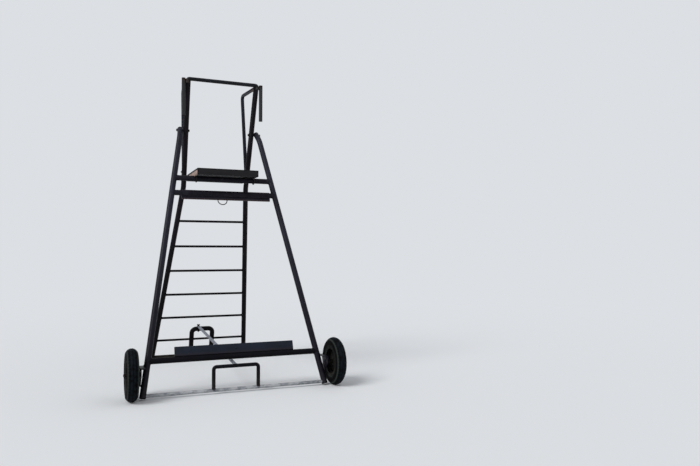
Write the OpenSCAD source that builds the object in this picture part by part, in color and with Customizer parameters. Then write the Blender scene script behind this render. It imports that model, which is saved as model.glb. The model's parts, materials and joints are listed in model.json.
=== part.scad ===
// Mobile lifeguard tower: an A-frame of welded steel tube with a small
// seat, a ladder at the back and two barrow wheels under the front.
// Millimetres. +X is right, +Y runs from the wheels to the ladder, +Z up.
// The origin is on the ground, at the middle of the footprint.

/* [Front frame] */
// Outer diameter of the front legs
leg_d = 50; // [44:1:54]
// Wall of the frame tubes
tube_wall = 3; // [2:0.5:4]
// Distance between the leg centres at the bottom bar
front_w = 1490; // [1460:5:1500]
// Height of the centre line of the bar between the leg ends
bottom_bar_h = 31; // [30:1:40]
// Outer diameter of that bottom bar
bottom_bar_d = 28; // [24:1:32]
// Height of the lower crossbar
low_bar_h = 281; // [275:1:330]
// Outer diameter of the three crossbars
crossbar_d = 48; // [40:1:50]
// Distance between the leg centres at the seat crossbar
seat_bar_w = 880; // [860:2:900]
// How far the seat crossbar lies behind the bottom bar
seat_bar_back = 623; // [590:1:650]
// How far the upper crossbar lies below the seat crossbar
upper_bar_drop = 136; // [120:1:150]
// How far the neck bend in the legs lies below the pivot bolts
neck_drop = 62; // [54:1:80]
// Radius of the neck bend
neck_bend = 150; // [120:10:160]
// How far the legs run on past the pivot bolts
leg_over = 21; // [18:1:30]
// Height of the open ends of the legs above the ground
leg_end_h = 14; // [12:1:18]

/* [Ladder] */
// Outer diameter of the ladder uprights
upright_d = 48; // [40:1:50]
// How far the ladder feet stand behind the bottom bar
ladder_foot_back = 1840; // [1780:5:1900]
// Distance between the upright centres at the feet
ladder_foot_w = 971; // [900:1:1000]
// How far the bend in the uprights lies below the seat crossbar
ladder_bend_drop = 40; // [30:1:50]
// How far that bend lies behind the bottom bar
ladder_bend_back = 1011; // [1000:1:1030]
// Distance between the upright centres at the bend
ladder_bend_w = 598; // [594:1:620]
// Radius of that bend
ladder_bend = 250; // [200:10:300]
// Distance between the upright centres at the top
ladder_top_w = 630; // [624:1:640]
// How far the upright tops lie behind the bottom bar
ladder_top_back = 686; // [680:1:700]
// Diameter of the rungs
rung_d = 22; // [18:1:28]
// Wall of the thinner tubes: rungs, rails, hoops and strut
thin_wall = 2.5; // [2:0.5:3]
// Height of the lowest rung
rung_first_h = 219; // [210:1:230]
// How far the highest rung lies below the bend in the uprights
rung_top_drop = 74; // [60:1:90]
// Diameter of the bar between the ladder feet
foot_bar_d = 48; // [46:1:54]
// How far the foot bar runs on past the uprights
foot_bar_over = 46; // [40:1:70]
// Length of a foot plate
foot_plate_l = 110; // [80:5:150]
// Width of a foot plate from front to back
foot_plate_w = 80; // [60:5:100]
// Thickness of a foot plate
foot_plate_t = 6; // [4:1:10]

/* [Guard rails] */
// Diameter of the top hoop
top_hoop_d = 34; // [28:1:36]
// Height of the top hoop's bar above the seat
top_hoop_up = 835; // [810:1:860]
// How far its ends are bent down into the uprights
top_hoop_end = 40; // [38:1:60]
// How far the legs that hang beside its ends reach down from its centre line
top_hoop_drop = 335; // [300:5:400]
// How far those legs reach up from it
top_hoop_over = 3; // [0:1:8]
// Bend radius of the top hoop
top_hoop_bend = 20; // [19:1:36]
// How far the top hoop lies in front of the tops of the uprights
top_hoop_ahead = 13; // [8:1:16]
// How far the uprights end below the centre line of its bar
upright_top_drop = 12; // [8:1:16]
// Diameter of the side rails
rail_d = 34; // [28:1:36]
// Distance between the rear corners of the side rails
rail_w = 584; // [578:1:590]
// How far the front end of a rail lies below the top hoop's bar
rail_front_drop = 16; // [8:1:20]
// How much higher the rear corner of a rail lies than its front end
rail_rise = 18; // [0:1:24]
// How far that rear corner lies behind the bottom bar
rail_back = 1142; // [1100:2:1160]
// How far below the seat a rail comes back to its upright
rail_end_drop = 5; // [0:1:20]
// Bend radius of the side rails
rail_bend = 35; // [30:1:60]

/* [Seat] */
// Height of the seat's top face
seat_h = 1869; // [1850:1:1900]
// How far the seat's top face lies above the centre line of its crossbar
seat_on_bar = 72; // [70:1:76]
// Width of the seat
seat_w = 540; // [500:2:544]
// How far the seat reaches ahead of its crossbar
seat_front_over = 209; // [190:1:230]
// Height of the boards around the seat
seat_side_h = 57; // [54:1:60]
// Thickness of the boards around the seat
seat_side_t = 18; // [15:1:20]
// Thickness of the top boards
seat_board_t = 15; // [12:1:17]
// Number of top boards
seat_board_count = 4; // [2:1:6]
// Gap between two top boards
seat_board_gap = 5; // [2:1:10]
// Diameter of the bar that carries the back of the seat
seat_rail_d = 28; // [24:1:30]
// How far that bar's centre line lies below the seat's top face
seat_rail_drop = 40; // [36:1:42]
// Free space between that bar and the seat's back board
seat_rail_gap = 6; // [2:1:10]
// Rod diameter of the hooks that hold the seat on its crossbar
seat_hook_d = 11; // [8:1:14]

/* [Boards] */
// Thickness of the two boards across the front
board_t = 20; // [16:1:25]
// Height of the upper board
upper_board_h = 85; // [60:1:90]
// Length of the upper board
upper_board_l = 802; // [760:2:820]
// Sideways place of the upper board
upper_board_x = 25; // [0:1:26]
// Height of the lower board
lower_board_h = 78; // [60:1:90]
// Length of the lower board
lower_board_l = 990; // [900:5:1050]
// Width of the lugs behind the lower board
lug_w = 40; // [30:1:60]
// Thickness of those lugs
lug_t = 5; // [4:1:8]
// Height of those lugs above the crossbar
lug_h = 62; // [50:1:66]
// Distance between the two outer lugs
lug_span = 750; // [600:10:850]
// Rod diameter of the loop that hangs under the upper board
loop_d = 8; // [6:1:10]
// Width of that loop
loop_w = 90; // [70:2:90]
// Drop of that loop below the board
loop_drop = 49; // [49:1:60]
// Sideways place of that loop
loop_x = -16; // [-200:2:200]

/* [Hoops and strut] */
// Diameter of the front hoop
front_hoop_d = 30; // [26:1:33]
// Distance between the legs of the front hoop
front_hoop_w = 366; // [300:2:420]
// Sideways place of the front hoop
front_hoop_x = -19; // [-60:1:60]
// Height of the front hoop's bar
front_hoop_h = 217; // [200:1:222]
// Bend radius of the front hoop
front_hoop_bend = 24; // [20:1:50]
// Diameter of the rear hoop
rear_hoop_d = 48; // [40:1:50]
// Distance between the legs of the rear hoop
rear_hoop_w = 215; // [190:1:240]
// Sideways place of the rear hoop
rear_hoop_x = 19; // [-20:1:20]
// Height of the rear hoop's bar
rear_hoop_h = 323; // [310:1:340]
// Bend radius of the rear hoop
rear_hoop_bend = 45; // [40:1:60]
// Diameter of the strut between the two hoops
strut_d = 27; // [24:1:29]
// Sideways place of the strut's rear end
strut_rear_x = -21; // [-34:1:34]
// Width of the flat tongue at the strut's rear end
tongue_w = 34; // [32:1:44]
// Thickness of that tongue
tongue_t = 5; // [4:1:8]
// Length of that tongue in front of its bolt
tongue_l = 125; // [100:5:150]

/* [Wheels] */
// Diameter of a tyre
tyre_d = 404; // [400:2:420]
// Width of a tyre
tyre_w = 92; // [88:1:98]
// Wall of a tyre
tyre_wall = 8; // [6:1:10]
// How far the middle of a tyre lies outside the leg's centre at the bottom bar
wheel_out = 85; // [80:1:105]
// How far the axles lie in front of the bottom bar
axle_ahead = 18; // [10:1:30]
// Radius of the tyre's inner edge on the rim
bead_r = 111; // [108:1:114]
// Width of the tyre where it sits on the rim
bead_w = 66; // [60:1:70]
// Height of the rim's edge above the tyre's inner edge
flange_h = 11; // [8:1:12]
// Thickness of the rim's steel
rim_t = 3; // [2:0.5:4]
// Width of the well round the middle of the rim
well_w = 30; // [24:1:36]
// Depth of that well
well_depth = 14; // [10:1:18]
// Length of the hub
hub_l = 90; // [80:2:96]
// Outer radius of the hub
hub_r = 19; // [17:1:24]
// Diameter of the axles
axle_d = 20; // [16:1:24]
// Thickness of the brackets that carry the axles
bracket_t = 8; // [6:1:10]
// Height of the lower end of a bracket
bracket_low_h = 100; // [90:1:120]
// Height of the top of a bracket
bracket_top_h = 250; // [240:1:260]
// Steel left round the axle in a bracket
bracket_edge = 22; // [18:1:26]
// Width of the flange along the top of a bracket
bracket_flange_w = 38; // [36:1:46]

/* [Bolts] */
// Diameter of the two pivot bolts
pivot_bolt_d = 12; // [10:1:14]
// Height of the pivot bolts above the seat
pivot_up = 393; // [380:1:400]
// Free space between a front leg and its upright at the pivot
pivot_gap = 3; // [2.5:0.5:6]
// Diameter of the bolt that holds the strut
strut_bolt_d = 10; // [8:1:12]
// Thickness of the nuts and bolt heads
nut_t = 6; // [5:1:10]
// Thickness of the washers
washer_t = 2; // [1.5:0.5:3]

/* [Fits] */
// Free space left at each weld and seat
seat_gap = 0.2; // [0.15:0.05:0.3]
// Radial play of a wheel on its axle
axle_play = 0.05; // [0.02:0.01:0.09]
// End play of a hub on its axle
hub_play = 0.5; // [0.3:0.1:1]

/* [Hidden] */
$fn = 48;

steel_blue = "#39434d";
ladder_black = "#28252a";
bright_steel = "#9a9da3";
board_slate = "#2c3846";
seat_grey = "#3a3a3c";
seat_pale = "#b89f94";
rubber_black = "#161616";
rim_grey = "#3a3a3a";

// Facets round a bent tube, and steps through one of its bends
tube_sides = 30;
bend_steps = 5;
rung_count = 7;

// Washers and nuts as multiples of their bolt's radius
washer_share = 2.2;
nut_share = 1.8;
// Axle nuts: the axle's radius and a nut's thickness times this
axle_nut_share = 1.5;

leg_r = leg_d / 2;
upright_r = upright_d / 2;
crossbar_r = crossbar_d / 2;
bottom_bar_r = bottom_bar_d / 2;
foot_bar_r = foot_bar_d / 2;
top_hoop_r = top_hoop_d / 2;
rail_r = rail_d / 2;
rear_hoop_r = rear_hoop_d / 2;
strut_r = strut_d / 2;
tyre_r = tyre_d / 2;
axle_r = axle_d / 2;
rim_edge_r = bead_r + flange_h;

// Heights that follow the seat
seat_bar_h = seat_h - seat_on_bar;
upper_bar_h = seat_bar_h - upper_bar_drop;
ladder_bend_h = seat_bar_h - ladder_bend_drop;
pivot_h = seat_h + pivot_up;
neck_h = pivot_h - neck_drop;
top_hoop_h = seat_h + top_hoop_up;
seat_under = seat_h - seat_side_h;
seat_boards_under = seat_h - seat_board_t - seat_gap;
seat_rail_h = seat_h - seat_rail_drop;
rung_pitch = (ladder_bend_h - rung_top_drop - rung_first_h) / (rung_count - 1);

// The bottom bar's place, so that the footprint is centred on the origin
front_y = (tyre_r + axle_ahead - ladder_foot_back - foot_plate_w / 2) / 2;
foot_bar_h = foot_plate_t + seat_gap + foot_bar_r;

function unit(v) = v / norm(v);
function along_line(p, q, h) = p + (q - p) * (h - p.z) / (q.z - p.z);
function mirrored(p) = [-p.x, p.y, p.z];
function sided(side, pts) = [for (p = pts) side > 0 ? p : mirrored(p)];

// The right leg's straight line, and the lean of the front frame
leg_foot = [front_w / 2, front_y, bottom_bar_h];
leg_at_seat = [seat_bar_w / 2, front_y + seat_bar_back, seat_bar_h];
function leg_at(h) = along_line(leg_foot, leg_at_seat, h);
front_tilt = atan(seat_bar_back / (seat_bar_h - bottom_bar_h));

// The right upright's two lines, which meet at its bend
upright_foot = [ladder_foot_w / 2, front_y + ladder_foot_back, foot_bar_h];
upright_knee = [ladder_bend_w / 2, front_y + ladder_bend_back, ladder_bend_h];
upright_top = [ladder_top_w / 2, front_y + ladder_top_back, top_hoop_h - upright_top_drop];
function upright_at(h) = along_line(upright_knee, upright_top, h);
upright_points = [upright_foot, upright_knee, upright_top];

// The right leg turns back at its neck to lie beside the upright at the pivot
neck = leg_at(neck_h);
upright_at_pivot = upright_at(pivot_h);
leg_at_pivot = upright_at_pivot + [upright_r + pivot_gap + leg_r, 0, 0];
leg_top = leg_at_pivot + leg_over * unit(leg_at_pivot - neck);
leg_points = [leg_at(leg_end_h), neck, leg_top];

// Places of the smaller pieces
top_hoop_y = front_y + ladder_top_back - top_hoop_ahead;
top_hoop_w = ladder_top_w + upright_d - top_hoop_d;
top_leg_x = top_hoop_w / 2 + top_hoop_d + seat_gap;
seat_y = leg_at_seat.y - seat_front_over;
seat_rail_y = upright_at(seat_rail_h).y;
seat_back_y = seat_rail_y + seat_rail_d / 2 + seat_rail_gap + seat_side_t;
board_off = crossbar_r + seat_gap;
wheel_y = front_y - axle_ahead;
wheel_x = front_w / 2 + wheel_out;
bracket_x = leg_at(bracket_low_h).x + leg_r;

// Lean of the rear hoop, which stands behind the lowest rung and touches it
rung_first_p = along_line(upright_foot, upright_knee, rung_first_h);
rung_run = upright_foot.y - rung_first_p.y;
rung_rise = rung_first_h - foot_bar_h;
rear_hoop_lean = atan2(rung_run, rung_rise)
  - asin((rear_hoop_r + rung_d / 2 + seat_gap) / norm([rung_run, rung_rise]));
rear_hoop_up = (rear_hoop_h - foot_bar_h) / cos(rear_hoop_lean);
rear_hoop_bar_y = upright_foot.y - rear_hoop_up * sin(rear_hoop_lean);

// The strut runs from the front hoop's bar to a tongue on the rear hoop's bar
strut_front = [front_hoop_x, front_y, front_hoop_h];
strut_rear = [strut_rear_x, rear_hoop_bar_y, rear_hoop_h + rear_hoop_r + tongue_t / 2 + 1.5 * seat_gap];
strut_dir = unit(strut_rear - strut_front);

// Stands its children with +Z along the line from p to q
module along(p, q) {
  z = unit(q - p);
  x = unit(cross(abs(z.z) < 0.9 ? [0, 0, 1] : [0, 1, 0], z));
  y = cross(z, x);
  multmatrix([[x.x, y.x, z.x, p.x], [x.y, y.y, z.y, p.y], [x.z, y.z, z.z, p.z], [0, 0, 0, 1]])
    children();
}

module rod(p, q, r) {
  along(p, q) cylinder(r = r, h = norm(q - p));
}

module tube(p, q, r, wall) {
  along(p, q) linear_extrude(norm(q - p)) ring(r, wall);
}

module ring(r, wall) {
  difference() {
    circle(r);
    circle(r - wall);
  }
}

// Makes the left piece of a pair from the right one
module on_side(side) {
  mirror([side < 0 ? 1 : 0, 0, 0]) children();
}

// A bent tube swept along a line: [place, direction] at its ends and through its bends
function turned(v, axis, a) =
  v * cos(a) + cross(axis, v) * sin(a) + axis * (axis * v) * (1 - cos(a));
function bend_stations(a, b, corner, bend_r) =
  let (
    ang = acos(a * b),
    axis = unit(cross(a, b)),
    inward = cross(axis, a),
    start = corner - bend_r * tan(ang / 2) * a
  )
  [for (k = [0 : bend_steps]) let (t = ang * k / bend_steps)
    [start + bend_r * (inward * (1 - cos(t)) + a * sin(t)), turned(a, axis, t)]];
function stations(pts, bend_r) =
  [
    [pts[0], unit(pts[1] - pts[0])],
    each bend_stations(unit(pts[1] - pts[0]), unit(pts[2] - pts[1]), pts[1], bend_r),
    [pts[2], unit(pts[2] - pts[1])]
  ];
function circle_at(c, d, r) =
  let (x = unit(cross([1, 0, 0], d)), y = cross(d, x))
  [for (k = [0 : tube_sides - 1])
    c + r * (x * cos(360 * k / tube_sides) + y * sin(360 * k / tube_sides))];

module bent_tube(pts, bend_r, r, wall) {
  st = stations(pts, bend_r);
  inner = len(st) * tube_sides;
  end = inner - tube_sides;
  points = [
    for (s = st) each circle_at(s[0], s[1], r),
    for (s = st) each circle_at(s[0], s[1], r - wall)
  ];
  faces = [
    for (i = [0 : len(st) - 2], k = [0 : tube_sides - 1])
      let (a = i * tube_sides + k, b = i * tube_sides + (k + 1) % tube_sides)
      each [
        [a, a + tube_sides, b + tube_sides, b],
        [inner + a, inner + b, inner + b + tube_sides, inner + a + tube_sides]
      ],
    for (k = [0 : tube_sides - 1])
      let (b = (k + 1) % tube_sides)
      each [
        [k, b, inner + b, inner + k],
        [end + b, end + k, inner + end + k, inner + end + b]
      ]
  ];
  polyhedron(points, faces, convexity = 4);
}

// A hoop of its child's section: two legs up from z = 0 and a bar across at height h
module hoop(w, h, bend) {
  for (side = [-1, 1]) {
    translate([side * w / 2, 0, 0])
      linear_extrude(h - bend) children();
    translate([side * (w / 2 - bend), 0, h - bend])
      rotate([90, 0, 0])
        mirror([side < 0 ? 1 : 0, 0, 0])
          rotate_extrude(angle = 90)
            translate([bend, 0]) children();
  }
  translate([bend - w / 2, 0, h])
    rotate([0, 90, 0])
      linear_extrude(w - 2 * bend) children();
}

// What a piece takes out of its neighbour where the two meet
module bent_cut(pts, r) {
  rod(pts[0], pts[1], r + seat_gap);
  rod(pts[1], pts[2], r + seat_gap);
}

module legs_cut() {
  for (side = [-1, 1]) bent_cut(sided(side, leg_points), leg_r);
}

module uprights_cut() {
  for (side = [-1, 1]) bent_cut(sided(side, upright_points), upright_r);
}

module bar_at(half_w, y, z, r) {
  rod([-half_w, y, z], [half_w, y, z], r);
}

module foot_bar_cut() {
  bar_at(ladder_foot_w, upright_foot.y, foot_bar_h, foot_bar_r + seat_gap);
}

module pivot_hole(side) {
  x = side * (leg_at_pivot.x + leg_d);
  rod([0, leg_at_pivot.y, pivot_h], [x, leg_at_pivot.y, pivot_h], pivot_bolt_d / 2 + seat_gap);
}

// A washer and a nut or bolt head, stacked up from z = 0
module bolt_end(r) {
  cylinder(r = washer_share * r, h = washer_t);
  translate([0, 0, washer_t]) cylinder(r = nut_share * r, h = nut_t, $fn = 6);
}

// Front frame
module front_leg(side) {
  color(steel_blue) difference() {
    bent_tube(sided(side, leg_points), neck_bend, leg_r, tube_wall);
    pivot_hole(side);
  }
}

module leg_bar(h, r) {
  p = leg_at(h);
  difference() {
    tube(mirrored(p), p, r, tube_wall);
    legs_cut();
  }
}

module front_crossbar(h) {
  color(steel_blue) leg_bar(h, crossbar_r);
}

module bottom_bar() {
  color(bright_steel) leg_bar(bottom_bar_h, bottom_bar_r);
}

// Ladder
module upright(side) {
  color(ladder_black) difference() {
    bent_tube(sided(side, upright_points), ladder_bend, upright_r, tube_wall);
    foot_bar_cut();
    top_hoop_cut();
    pivot_hole(side);
  }
}

module rung(k) {
  p = along_line(upright_foot, upright_knee, rung_first_h + (k - 1) * rung_pitch);
  color(ladder_black) difference() {
    tube(mirrored(p), p, rung_d / 2, thin_wall);
    uprights_cut();
  }
}

module foot_bar() {
  half_w = ladder_foot_w / 2 + foot_bar_over;
  y = upright_foot.y;
  color(ladder_black)
    tube([-half_w, y, foot_bar_h], [half_w, y, foot_bar_h], foot_bar_r, tube_wall);
}

module foot_plates() {
  color(ladder_black)
    for (side = [-1, 1])
      translate([side * ladder_foot_w / 2, upright_foot.y, foot_plate_t / 2])
        cube([foot_plate_l, foot_plate_w, foot_plate_t], center = true);
}

// How far out from a tube's line a flat disc clears the tube, where the tube leans by d
function beside(d, tube_r, disc_r) = (tube_r + disc_r * abs(d.x)) / sqrt(1 - d.x * d.x) + seat_gap;

module pivot_bolt(side) {
  r = pivot_bolt_d / 2;
  washer_r = washer_share * r;
  in_x = upright_at_pivot.x - beside(unit(upright_top - upright_knee), upright_r, washer_r);
  out_x = leg_at_pivot.x + beside(unit(leg_at_pivot - neck), leg_r, washer_r);
  end_l = washer_t + nut_t;
  color(ladder_black) on_side(side) {
    translate([0, leg_at_pivot.y, pivot_h])
      rotate([0, 90, 0]) {
        translate([0, 0, in_x - end_l]) cylinder(r = r, h = out_x - in_x + 2 * end_l);
        translate([0, 0, in_x]) mirror([0, 0, 1]) bolt_end(r);
        translate([0, 0, out_x]) bolt_end(r);
      }
    difference() {
      rod(upright_at_pivot, leg_at_pivot, nut_share * r);
      bent_cut(upright_points, upright_r);
      bent_cut(leg_points, leg_r);
    }
  }
}

// Guard rails
module top_hoop_at(end) {
  translate([0, top_hoop_y, top_hoop_h - end])
    hoop(top_hoop_w, end, top_hoop_bend) children();
}

module top_hoop_cut() {
  top_hoop_at(top_hoop_end + seat_gap) circle(top_hoop_r + seat_gap);
}

// The bar with its bent ends, and a straight leg that hangs beside each end
module top_hoop() {
  color(steel_blue) {
    top_hoop_at(top_hoop_end) ring(top_hoop_r, thin_wall);
    for (side = [-1, 1])
      tube([side * top_leg_x, top_hoop_y, top_hoop_h - top_hoop_drop],
           [side * top_leg_x, top_hoop_y, top_hoop_h + top_hoop_over], top_hoop_r, thin_wall);
  }
}

module side_rail(side) {
  front_h = top_hoop_h - rail_front_drop;
  end = upright_at(seat_h - rail_end_drop);
  pts = [
    upright_at(front_h),
    [rail_w / 2, front_y + rail_back, front_h + rail_rise],
    [end.x, end.y + upright_r, end.z]
  ];
  color(ladder_black) difference() {
    bent_tube(sided(side, pts), rail_bend, rail_r, thin_wall);
    top_hoop_cut();
    bent_cut(sided(side, upright_points), upright_r);
  }
}

// Seat: the front board stands to the top face, the others carry the top boards
module seat_boards() {
  start = seat_y + seat_side_t + seat_gap;
  step = (seat_back_y - start + seat_board_gap) / seat_board_count;
  color(seat_pale)
    for (k = [0 : seat_board_count - 1])
      translate([-seat_w / 2, start + k * step, seat_h - seat_board_t])
        cube([seat_w, step - seat_board_gap, seat_board_t]);
}

module seat_front_board() {
  color(seat_grey)
    translate([-seat_w / 2, seat_y, seat_under])
      cube([seat_w, seat_side_t, seat_side_h]);
}

module seat_back_board() {
  color(seat_grey)
    translate([-seat_w / 2, seat_back_y - seat_side_t, seat_under])
      cube([seat_w, seat_side_t, seat_boards_under - seat_under]);
}

module seat_side_board(side) {
  start = seat_y + seat_side_t + seat_gap;
  rail_cut_r = seat_rail_d / 2 + seat_gap;
  color(seat_pale) on_side(side) difference() {
    translate([seat_w / 2 - seat_side_t, start, seat_under])
      cube([seat_side_t, seat_back_y - seat_side_t - seat_gap - start, seat_boards_under - seat_under]);
    bar_at(seat_w, leg_at_seat.y, seat_bar_h, crossbar_r + seat_gap);
    bar_at(seat_w, seat_rail_y, seat_rail_h, rail_cut_r);
    translate([0, seat_rail_y - rail_cut_r, seat_rail_h - seat_side_h])
      cube([seat_w, 2 * rail_cut_r, seat_side_h]);
  }
}

module seat_rail() {
  p = upright_at(seat_rail_h);
  color(ladder_black) difference() {
    tube(mirrored(p), p, seat_rail_d / 2, tube_wall);
    uprights_cut();
  }
}

// A hook inside the left side board and one outside the right one, both round the crossbar
module seat_hooks() {
  r = seat_hook_d / 2;
  bend = crossbar_r + r + seat_gap;
  off = seat_gap + r;
  color(ladder_black)
    for (x = [seat_side_t + off - seat_w / 2, seat_w / 2 + off])
      translate([x, leg_at_seat.y, seat_bar_h]) {
        translate([0, -bend, 0])
          cylinder(r = r, h = seat_boards_under - seat_gap - seat_bar_h);
        rotate([0, 90, 0]) rotate([0, 0, -90])
          rotate_extrude(angle = 180) translate([bend, 0]) circle(r);
      }
}

// Boards across the front, which lean with the legs
module in_front_plane(h) {
  translate([0, leg_at(h).y, h]) rotate([-front_tilt, 0, 0]) children();
}

module upper_board() {
  color(board_slate)
    in_front_plane(upper_bar_h)
      translate([upper_board_x - upper_board_l / 2, board_off, -upper_board_h / 2])
        cube([upper_board_l, board_t, upper_board_h]);
}

module lower_board() {
  color(board_slate)
    in_front_plane(low_bar_h)
      translate([-lower_board_l / 2, -board_t / 2, board_off])
        cube([lower_board_l, board_t, lower_board_h]);
}

module board_lugs() {
  color(steel_blue) difference() {
    in_front_plane(low_bar_h)
      for (x = [-0.5, 0, 0.5])
        translate([x * lug_span - lug_w / 2, board_t / 2 + seat_gap, 0])
          cube([lug_w, lug_t, crossbar_r + lug_h]);
    bar_at(front_w, leg_at(low_bar_h).y, low_bar_h, crossbar_r + seat_gap);
  }
}

module hanging_loop() {
  r = loop_d / 2;
  half_w = (loop_w - loop_d) / 2;
  leg_h = loop_drop - half_w - r;
  color(ladder_black)
    in_front_plane(upper_bar_h)
      translate([loop_x, board_off + board_t / 2, -upper_board_h / 2 - seat_gap - leg_h]) {
        for (side = [-1, 1])
          translate([side * half_w, 0, 0]) cylinder(r = r, h = leg_h);
        rotate([-90, 0, 0]) rotate_extrude(angle = 180) translate([half_w, 0]) circle(r);
      }
}

// Hoops at the bottom and the strut between them
module front_hoop() {
  saddle = bottom_bar_r / 2;
  color(steel_blue) difference() {
    translate([front_hoop_x, front_y, bottom_bar_h + saddle])
      hoop(front_hoop_w, front_hoop_h - bottom_bar_h - saddle, front_hoop_bend)
        ring(front_hoop_d / 2, thin_wall);
    bar_at(front_w / 2, front_y, bottom_bar_h, bottom_bar_r + seat_gap);
  }
}

module rear_hoop() {
  saddle = foot_bar_r / 2;
  color(ladder_black) difference() {
    translate([rear_hoop_x, upright_foot.y, foot_bar_h])
      rotate([rear_hoop_lean, 0, 0])
        translate([0, 0, saddle])
          hoop(rear_hoop_w, rear_hoop_up - saddle, rear_hoop_bend) ring(rear_hoop_r, tube_wall);
    foot_bar_cut();
    strut_bolt_line(strut_bolt_d / 2 + seat_gap);
  }
}

module strut_bolt_line(r) {
  rod(strut_rear - [0, 0, 2 * rear_hoop_d], strut_rear + [0, 0, strut_d], r);
}

module strut() {
  tube_end = strut_rear - tongue_l * strut_dir;
  held = tongue_w / 2;
  color(bright_steel) difference() {
    union() {
      tube(strut_front, tube_end, strut_r, thin_wall);
      along(tube_end, strut_rear)
        rotate([90, 0, 0])
          translate([0, 0, -tongue_t / 2])
            linear_extrude(tongue_t) {
              translate([-tongue_w / 2, -held]) square([tongue_w, tongue_l + held]);
              translate([0, tongue_l]) circle(tongue_w / 2);
            }
    }
    bar_at(front_w / 2, front_y, front_hoop_h, front_hoop_d / 2 + seat_gap);
    strut_bolt_line(strut_bolt_d / 2 + seat_gap);
  }
}

// The strut's bolt, with a nut below the hoop and a wing nut on the tongue
module strut_bolt() {
  r = strut_bolt_d / 2;
  low_h = rear_hoop_h - rear_hoop_r - seat_gap;
  rise = strut_dir.z / strut_dir.y;
  top_h = strut_rear.z + tongue_t / 2 * sqrt(1 + rise * rise) + washer_share * r * rise + seat_gap;
  end_l = washer_t + nut_t;
  color(ladder_black) translate([strut_rear.x, strut_rear.y, 0]) {
    translate([0, 0, low_h - end_l]) cylinder(r = r, h = top_h - low_h + 2 * end_l + nut_t);
    translate([0, 0, low_h]) mirror([0, 0, 1]) bolt_end(r);
    translate([0, 0, top_h]) {
      cylinder(r = washer_share * r, h = washer_t);
      translate([0, 0, washer_t]) cylinder(r = nut_share * r, h = nut_t);
      translate([-3 * r, -washer_t / 2, washer_t + nut_t / 2]) cube([6 * r, washer_t, 2 * nut_t]);
    }
  }
}

// Wheels
module axle_plate(side) {
  edge_r = axle_r + bracket_edge;
  flange_x = bracket_x + bracket_t - bracket_flange_w;
  low_y = leg_at(bracket_low_h).y;
  top_y = leg_at(bracket_top_h).y + leg_r;
  color(steel_blue) on_side(side) difference() {
    union() {
      translate([bracket_x, wheel_y, tyre_r])
        rotate([90, 0, 90])
          linear_extrude(bracket_t) {
            circle(edge_r);
            polygon([
              [0, -edge_r], [low_y - wheel_y, bracket_low_h - tyre_r],
              [low_y + leg_r - wheel_y, bracket_low_h - tyre_r],
              [top_y - wheel_y, bracket_top_h - tyre_r], [-edge_r, bracket_top_h - tyre_r], [-edge_r, 0]
            ]);
          }
      translate([flange_x, wheel_y - edge_r, bracket_top_h - bracket_t])
        cube([bracket_flange_w, top_y - wheel_y + edge_r, bracket_t]);
    }
    bent_cut(leg_points, leg_r);
    translate([0, wheel_y, tyre_r])
      rotate([0, 90, 0]) cylinder(r = axle_r + seat_gap, h = 2 * wheel_x);
  }
}

module axle(side) {
  collar_r = axle_r + nut_t;
  hub_in = wheel_x - hub_l / 2 - hub_play;
  hub_out = wheel_x + hub_l / 2 + hub_play;
  plate_out = bracket_x + bracket_t + seat_gap;
  color(bright_steel) on_side(side)
    translate([0, wheel_y, tyre_r])
      rotate([0, 90, 0]) {
        translate([0, 0, bracket_x]) cylinder(r = axle_r, h = hub_out - bracket_x + washer_t + 2 * nut_t);
        translate([0, 0, plate_out]) cylinder(r = collar_r, h = hub_in - plate_out);
        translate([0, 0, hub_out]) cylinder(r = collar_r, h = washer_t);
        translate([0, 0, hub_out + washer_t])
          cylinder(r = axle_nut_share * axle_r, h = axle_nut_share * nut_t, $fn = 6);
      }
}

module on_axle(side) {
  translate([side * wheel_x, wheel_y, tyre_r]) rotate([0, 90, 0]) children();
}

// Half sections of the tyre and rim: x is the radius, y the width
module tyre_section() {
  crown_r = tyre_w / 2;
  mid_r = tyre_r - crown_r;
  bead_t = tyre_wall + rim_t;
  groove_w = 5;
  groove_depth = 4;
  groove_turn = 27;
  ridge_turn = 65;
  difference() {
    union() {
      intersection() {
        translate([mid_r, 0]) circle(crown_r);
        translate([rim_edge_r + seat_gap, -tyre_w]) square([tyre_w, 2 * tyre_w]);
      }
      translate([bead_r, -bead_w / 2]) square([flange_h + tyre_wall, bead_w]);
      for (turn = [-ridge_turn, ridge_turn])
        translate([mid_r, 0]) rotate(turn) translate([crown_r, 0]) circle(rim_t / 2);
    }
    translate([mid_r, 0]) circle(crown_r - tyre_wall);
    translate([bead_r - seat_gap, bead_t - bead_w / 2]) square([mid_r - bead_r, bead_w - 2 * bead_t]);
    for (turn = [-groove_turn, 0, groove_turn])
      translate([mid_r, 0])
        rotate(turn)
          translate([crown_r - groove_depth, -groove_w / 2]) square([2 * groove_depth, groove_w]);
  }
}

module tyre(side) {
  color(rubber_black) on_axle(side) rotate_extrude($fn = 96) tyre_section();
}

module rim_section() {
  bead_gap = 1.5 * seat_gap;
  seat_r = bead_r - bead_gap;
  well_r = seat_r - well_depth;
  edge_y = bead_w / 2 + bead_gap;
  for (s = [0, 1]) {
    mirror([0, s]) {
      translate([seat_r - rim_t, well_w / 2]) square([rim_t, edge_y + rim_t - well_w / 2]);
      translate([seat_r - rim_t, edge_y]) square([rim_edge_r - seat_r + rim_t, rim_t]);
      translate([well_r, well_w / 2]) square([well_depth, rim_t]);
    }
  }
  translate([well_r, -well_w / 2]) square([rim_t, well_w]);
  translate([hub_r - rim_t / 2, -rim_t / 2]) square([well_r - hub_r + rim_t, rim_t]);
  translate([axle_r + axle_play, -hub_l / 2]) square([hub_r - axle_r - axle_play, hub_l]);
}

module rim(side) {
  color(rim_grey) on_axle(side) rotate_extrude($fn = 96) rim_section();
}

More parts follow.
